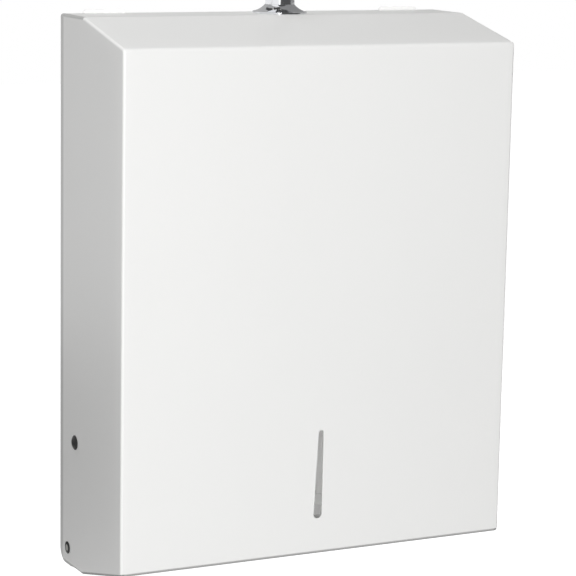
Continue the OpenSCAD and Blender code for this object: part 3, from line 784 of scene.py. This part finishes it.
class DISPENSER_OT_stop_pins(bpy.types.Operator):
    """Make the black stop pins with their domed heads"""

    bl_idname = "dispenser.stop_pins"
    bl_label = "Stop pins"

    def execute(self, context):
        """Turns a dome, its rim and a straight shank about each pin's axis."""
        sizes = context.scene.dispenser_lock
        radius = (STOP_HIGH.y - STOP_LOW.y) / 2
        seat = STOP_HIGH.x - sizes.stop_head
        rim = sizes.stop_head / 4
        dome = dome_line(radius, sizes.stop_head - rim) + [0, seat + rim]
        shank = [
            (radius, seat), (sizes.stop_shank, seat), (sizes.stop_shank, STOP_LOW.x),
            (0, STOP_LOW.x)]
        profile = np.vstack([dome, shank])
        for side, node in ((LEFT, "left_stop_pin"), (RIGHT, "right_stop_pin")):
            grid = along_x(profile, side, STOP_LOW, STOP_HIGH)
            made = piece(node + "_skin", grid, squares(*grid.shape[:2], False, True), "cover",
                         "black_steel", (node,))
            soften(made, 0.2 * MM)
        return {"FINISHED"}


class DISPENSER_OT_hinge_pins(bpy.types.Operator):
    """Make the black hinge pins with their outer and inner heads"""

    bl_idname = "dispenser.hinge_pins"
    bl_label = "Hinge pins"

    def execute(self, context):
        """Turns a low crown, a shank and a flat inner head about each pin's axis."""
        sizes = context.scene.dispenser_lock
        radius = (HINGE_HIGH.y - HINGE_LOW.y) / 2
        seat = HINGE_HIGH.x - sizes.hinge_head
        inner = HINGE_LOW.x + sizes.hinge_head
        shank = sizes.hinge_shank
        rim = sizes.hinge_head / 4
        crown = dome_line(radius, rim) + [0, seat + rim]
        rest = [
            (radius, seat), (shank, seat), (shank, inner), (radius, inner),
            (radius, HINGE_LOW.x), (0, HINGE_LOW.x)]
        profile = np.vstack([crown, rest])
        for side, node in ((LEFT, "left_hinge_pin"), (RIGHT, "right_hinge_pin")):
            grid = along_x(profile, side, HINGE_LOW, HINGE_HIGH)
            made = piece(node + "_skin", grid, squares(*grid.shape[:2], False, True), "wall_unit",
                         "black_steel", (node,))
            soften(made, 0.15 * MM)
        return {"FINISHED"}


class DISPENSER_OT_key(bpy.types.Operator):
    """Make the key: round bow with a ring hole, neck and notched, grooved blade"""

    bl_idname = "dispenser.key"
    bl_label = "Key"

    def execute(self, context):
        """Carries a rounded strip round the bow and along the blade.

        On the bow the strip spans from the ring hole to the rim at each angle. On the blade
        it spans from the plain back to the notched edge at each height, with a milled groove.
        """
        sizes = context.scene.dispenser_lock
        thick = KEY_HIGH.y - KEY_LOW.y
        middle = (KEY_LOW + KEY_HIGH) / 2
        edge = sizes.key_edge
        bow_z = KEY_HIGH.z - sizes.key_bow
        neck_top = bow_z - sizes.key_bow * 0.9
        foot = neck_top - sizes.key_neck

        # Half of the strip's section: distance in from an edge, and place in the thickness
        quarter = np.linspace(0, QUARTER, 5)
        into = edge * (1 - np.cos(np.concatenate([quarter[::-1], quarter])))
        rise = thick / 2 - edge + edge * np.sin(quarter)
        level = np.concatenate([-rise[::-1], rise])

        angle = np.linspace(0, 2 * math.pi, 72, endpoint=False)
        ring = np.stack([np.cos(angle), np.sin(angle)], axis=1)
        rim = sizes.key_bow * ring
        hole = sizes.key_hole * ring + [0, sizes.key_bow / 2]
        reach = (rim - hole) / np.linalg.norm(rim - hole, axis=1, keepdims=True)
        inner = hole + into[:, None, None] * reach
        outer = rim - into[::-1, None, None] * reach
        strip = np.concatenate([inner, outer])
        strip_y = np.concatenate([level, level[::-1]])
        bow = np.stack([
            middle.x + strip[..., 0], np.broadcast_to(middle.y + strip_y[:, None], strip.shape[:2]),
            bow_z + strip[..., 1]], axis=-1)

        blade = sizes.key_blade / 2
        tip = KEY_LOW.z
        blade_length = foot - tip
        notch = sizes.key_blade / 6
        shoulder = blade + notch + thick / 5
        step = blade_length / 6
        cut_shares = np.array([1, 0.7, 1, 0.7])
        first_mark = 1.5
        marks = foot - step * (np.arange(len(cut_shares)) + first_mark)
        depth = notch * cut_shares / math.sqrt(2)
        taper = blade * 0.9
        knot_z = [tip, tip + taper]
        knot_x = [edge, blade]
        for mark, cut in zip(marks[::-1], depth[::-1]):
            knot_z += [mark - cut, mark, mark + cut]
            knot_x += [blade, blade - cut, blade]
        ledge = 0.05 * MM
        top = foot + sizes.key_neck
        z = np.unique(np.concatenate([knot_z, np.linspace(tip, foot - ledge, 30), [foot, top]]))
        neck_z = [foot - ledge, foot, top]
        neck_x = [blade, shoulder, shoulder]
        right = np.interp(z, knot_z + neck_z, knot_x + neck_x)
        left = np.interp(z, [tip, tip + taper] + neck_z, [edge, blade] + neck_x)
        groove = 0.35 * MM
        share = np.array([0.30, 0.36, 0.64, 0.70])
        dip = thick / 2 - groove * np.array([0, 1, 1, 0])
        width = (left + right)[:, None]
        section_x = np.concatenate([
            -left[:, None] + into, -left[:, None] + share * width, right[:, None] - into[::-1],
            -left[:, None] + share[::-1] * width], axis=1)
        section_y = np.concatenate([level, dip, level[::-1], -dip])
        section_y = np.broadcast_to(section_y, section_x.shape)
        stem = np.stack([
            middle.x + section_x, middle.y + section_y,
            np.broadcast_to(z[:, None], section_x.shape)], axis=-1)
        ends = [np.broadcast_to(stem[k].mean(axis=0), stem[k].shape)[None] for k in (0, -1)]
        stem = np.concatenate([ends[0], stem, ends[1]])

        bow_faces = squares(*bow.shape[:2], True, True).reshape(-1, 4)
        stem_faces = squares(*stem.shape[:2], False, True).reshape(-1, 4) + bow.size // 3
        piece(
            "key_skin", np.concatenate([bow.reshape(-1, 3), stem.reshape(-1, 3)]),
            np.concatenate([bow_faces, stem_faces]), "key", "nickel_steel", ("key",))
        return {"FINISHED"}


class DISPENSER_OT_solids(bpy.types.Operator):
    """Give the solids that stay in view their finishes"""

    bl_idname = "dispenser.solids"
    bl_label = "Inner parts"

    def execute(self, context):
        """Puts each slot's material on the solids of that slot."""
        for slot, names in SOLID_FINISHES.items():
            for name in names:
                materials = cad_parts[name].data.materials
                materials.clear()
                materials.append(finish_for(slot))
        return {"FINISHED"}


def lamp(name, where, target, width, height, power):
    """Flat lamp that faces a target."""
    data = bpy.data.lights.new(name, "AREA")
    data.shape = "RECTANGLE"
    data.size = width
    data.size_y = height
    data.energy = power
    made = bpy.data.objects.new(name, data)
    made.location = where
    made.rotation_mode = "QUATERNION"
    made.rotation_quaternion = (Vector(target) - Vector(where)).to_track_quat("-Z", "Y")
    bpy.context.scene.collection.objects.link(made)
    return made


def seen_by_eye(nodes):
    """1 for rays from the camera, a mirror or glass, and 0 for rays that light surfaces."""
    eye = nodes.node("ShaderNodeLightPath", output="Is Camera Ray")
    mirror = nodes.node("ShaderNodeLightPath", output="Is Glossy Ray")
    glass = nodes.node("ShaderNodeLightPath", output="Is Transmission Ray")
    return eye.maths("MAXIMUM", eye.maths("MAXIMUM", eye, mirror), glass)


# Reflection cards: name, bearings from the wall and height angles in degrees, then the
# shares of the cards' distance and of their tone
CARDS = (
    ("canopy", (110, 200), (-40, 89), 1.0, 0.16),
    ("right_card", (31, 110), (-10, 89), 1.0, 0.52),
    ("left_card", (-25, 31), (6, 47), 1.0, 0.90),
    ("dark_card", (-12, 31), (47, 89), 1.0, 0.12),
    ("left_high_card", (-45, -12), (47, 89), 1.0, 0.80),
    ("high_card", (200, 245), (30, 89), 1.0, 0.12),
    ("side_flag", (-75, 10), (-29, -14), 0.64, 0.14),
)


class DISPENSER_OT_stage(bpy.types.Operator):
    """Set the camera, the lamps, the world, the floor and the reflection cards"""

    bl_idname = "dispenser.stage"
    bl_label = "Stage"

    def execute(self, context):
        """The world and the floor look white to the eye, and light the part at a plain level."""
        stage = context.scene.dispenser_stage
        scene = context.scene
        scene.view_settings.view_transform = "Standard"

        data = bpy.data.cameras.new("camera")
        data.lens = stage.lens
        camera = bpy.data.objects.new("camera", data)
        camera.location = stage.eye
        camera.rotation_mode = "QUATERNION"
        facing = (Vector(stage.aim) - Vector(stage.eye)).to_track_quat("-Z", "Y")
        camera.rotation_quaternion = facing @ Quaternion((0, 0, 1), stage.roll)
        scene.collection.objects.link(camera)
        scene.camera = camera

        target = (CAD_BOX[0] + CAD_BOX[1]) / 2
        lamp("key_lamp", stage.key_place, target, stage.key_size, stage.key_size, stage.key_power)
        lamp("strip_lamp", stage.strip_place, target, stage.strip_width, stage.strip_height,
             stage.strip_power)
        top = lamp("top_lamp", stage.top_place, target, stage.top_size, stage.top_size,
                   stage.top_power)
        top.visible_glossy = False
        lamp("fill_lamp", stage.fill_place, target, stage.fill_size, stage.fill_size,
             stage.fill_power)
        tray = Vector((stage.inner_place[0], stage.inner_place[1], TRAY_LOW.z))
        inner = lamp("inner_lamp", stage.inner_place, tray, stage.inner_size, stage.inner_size,
                     stage.inner_power)
        inner.visible_camera = False

        world = bpy.data.worlds.new("studio")
        world.use_nodes = True
        scene.world = world
        nodes = Nodes(world.node_tree)
        seen = seen_by_eye(nodes)
        strength = stage.ambient + (1.0 - stage.ambient) * seen
        background = world.node_tree.nodes["Background"]
        nodes.feed(background, {"Color": (1, 1, 1, 1), "Strength": strength})

        reach = stage.floor_side / 2
        level = CAD_BOX[0].z - stage.floor_drop
        grid = np.linspace(-reach, reach, FLOOR_STEPS)
        heights = np.full((FLOOR_STEPS, FLOOR_STEPS), level)
        corners = np.stack([*np.meshgrid(grid, grid), heights], axis=-1)
        self.card("floor", corners, self.floor_finish(stage, scene.dispenser_colours.floor))

        for name, bearings, rises, share, tone in CARDS:
            self.mirror_card(name, np.array(target), bearings, rises, share, tone)
        return {"FINISHED"}

    def mirror_card(self, name, target, bearings, rises, reach, tone):
        """Patch of a ball, by bearing and height angle, that only mirrors see."""
        scene = bpy.context.scene
        bearing = np.linspace(*np.radians(bearings), CARD_STEPS[1])
        rise = np.linspace(*np.radians(rises), CARD_STEPS[0])[:, None]
        ball = np.stack([
            np.cos(rise) * np.sin(bearing), np.cos(rise) * np.cos(bearing),
            np.sin(rise) + 0 * bearing], axis=-1)
        finish = self.card_finish(name, scene.dispenser_colours.cards, tone)
        made = self.card(name, target + reach * scene.dispenser_stage.card_radius * ball, finish)
        made.visible_camera = False
        made.visible_diffuse = False
        made.visible_shadow = False
        made.visible_transmission = False

    def card(self, name, grid, material):
        """Stage piece over a grid of points."""
        mesh = bpy.data.meshes.new(name)
        faces = squares(*grid.shape[:2]).reshape(-1, 4)[:, ::-1]
        mesh.from_pydata(grid.reshape(-1, 3).tolist(), [], faces.tolist())
        mesh.materials.append(material)
        made = bpy.data.objects.new(name, mesh)
        bpy.context.scene.collection.objects.link(made)
        return made

    def card_finish(self, name, base, share):
        """Black cloth that glows with faint clouds, at a share of the cards' tone."""
        finish = Finish("studio_" + name)
        clouds = finish.noise(2.0, 2.0)
        return finish.shade(
            Base_Color=rgba(base, 0.0),
            Roughness=1.0,
            Emission_Color=finish.mix(clouds, rgba(base, 0.9 * share), rgba(base, 1.1 * share)),
            Emission_Strength=1.0)

    def floor_finish(self, stage, base):
        """Matt floor with faint clouds, plus a glow that only the eye and mirrors see."""
        finish = Finish("studio_floor")
        clouds = finish.noise(1.5, 2.0)
        finish.shade(Base_Color=finish.mix(clouds, rgba(base, 0.98), rgba(base)), Roughness=0.9)
        far = finish.node(
            "ShaderNodeVectorMath", {"operation": "LENGTH"}, {0: finish.spot}, "Value")
        fade = finish.node("ShaderNodeMapRange", {"interpolation_type": "SMOOTHSTEP"}, {
            "Value": far, "From Min": stage.floor_fade / 3, "From Max": stage.floor_fade,
            "To Min": stage.floor_glow, "To Max": 1.0})
        glow = finish.node("ShaderNodeEmission", {}, {"Strength": fade * seen_by_eye(finish)})
        lit = Signal(finish, finish.shader.outputs["BSDF"])
        both = finish.node("ShaderNodeAddShader", {}, {0: lit, 1: glow})
        output = finish.tree.nodes["Material Output"]
        finish.feed(output, {"Surface": both})
        return finish.material


class DISPENSER_PT_looks(bpy.types.Panel):
    """Settings and pieces of the towel dispenser"""

    bl_idname = "DISPENSER_PT_looks"
    bl_label = "Towel Dispenser"
    bl_space_type = "VIEW_3D"
    bl_region_type = "UI"
    bl_category = "Dispenser"

    def draw(self, context):
        for group in GROUPS:
            settings = getattr(context.scene, group)
            box = self.layout.box()
            for name in settings.__annotations__:
                box.prop(settings, name)
        for operator in OPERATORS:
            self.layout.operator(operator.bl_idname)


GROUPS = {
    "dispenser_cover": DispenserCover,
    "dispenser_lock": DispenserLock,
    "dispenser_colours": DispenserColours,
    "dispenser_stage": DispenserStage,
}
OPERATORS = (
    DISPENSER_OT_stage,
    DISPENSER_OT_solids,
    DISPENSER_OT_cover,
    DISPENSER_OT_lock_head,
    DISPENSER_OT_stop_pins,
    DISPENSER_OT_hinge_pins,
    DISPENSER_OT_key,
)


def register():
    for name, group in GROUPS.items():
        bpy.utils.register_class(group)
        setattr(bpy.types.Scene, name, bpy.props.PointerProperty(type=group))
    for item in (*OPERATORS, DISPENSER_PT_looks):
        bpy.utils.register_class(item)


def unregister():
    for item in (DISPENSER_PT_looks, *reversed(OPERATORS)):
        bpy.utils.unregister_class(item)
    for name, group in reversed(GROUPS.items()):
        delattr(bpy.types.Scene, name)
        bpy.utils.unregister_class(group)


def main():
    register()
    bpy.ops.dispenser.stage()
    bpy.ops.dispenser.solids()
    bpy.ops.dispenser.cover()
    bpy.ops.dispenser.lock_head()
    bpy.ops.dispenser.stop_pins()
    bpy.ops.dispenser.hinge_pins()
    bpy.ops.dispenser.key()


if __name__ == "__main__":
    main()
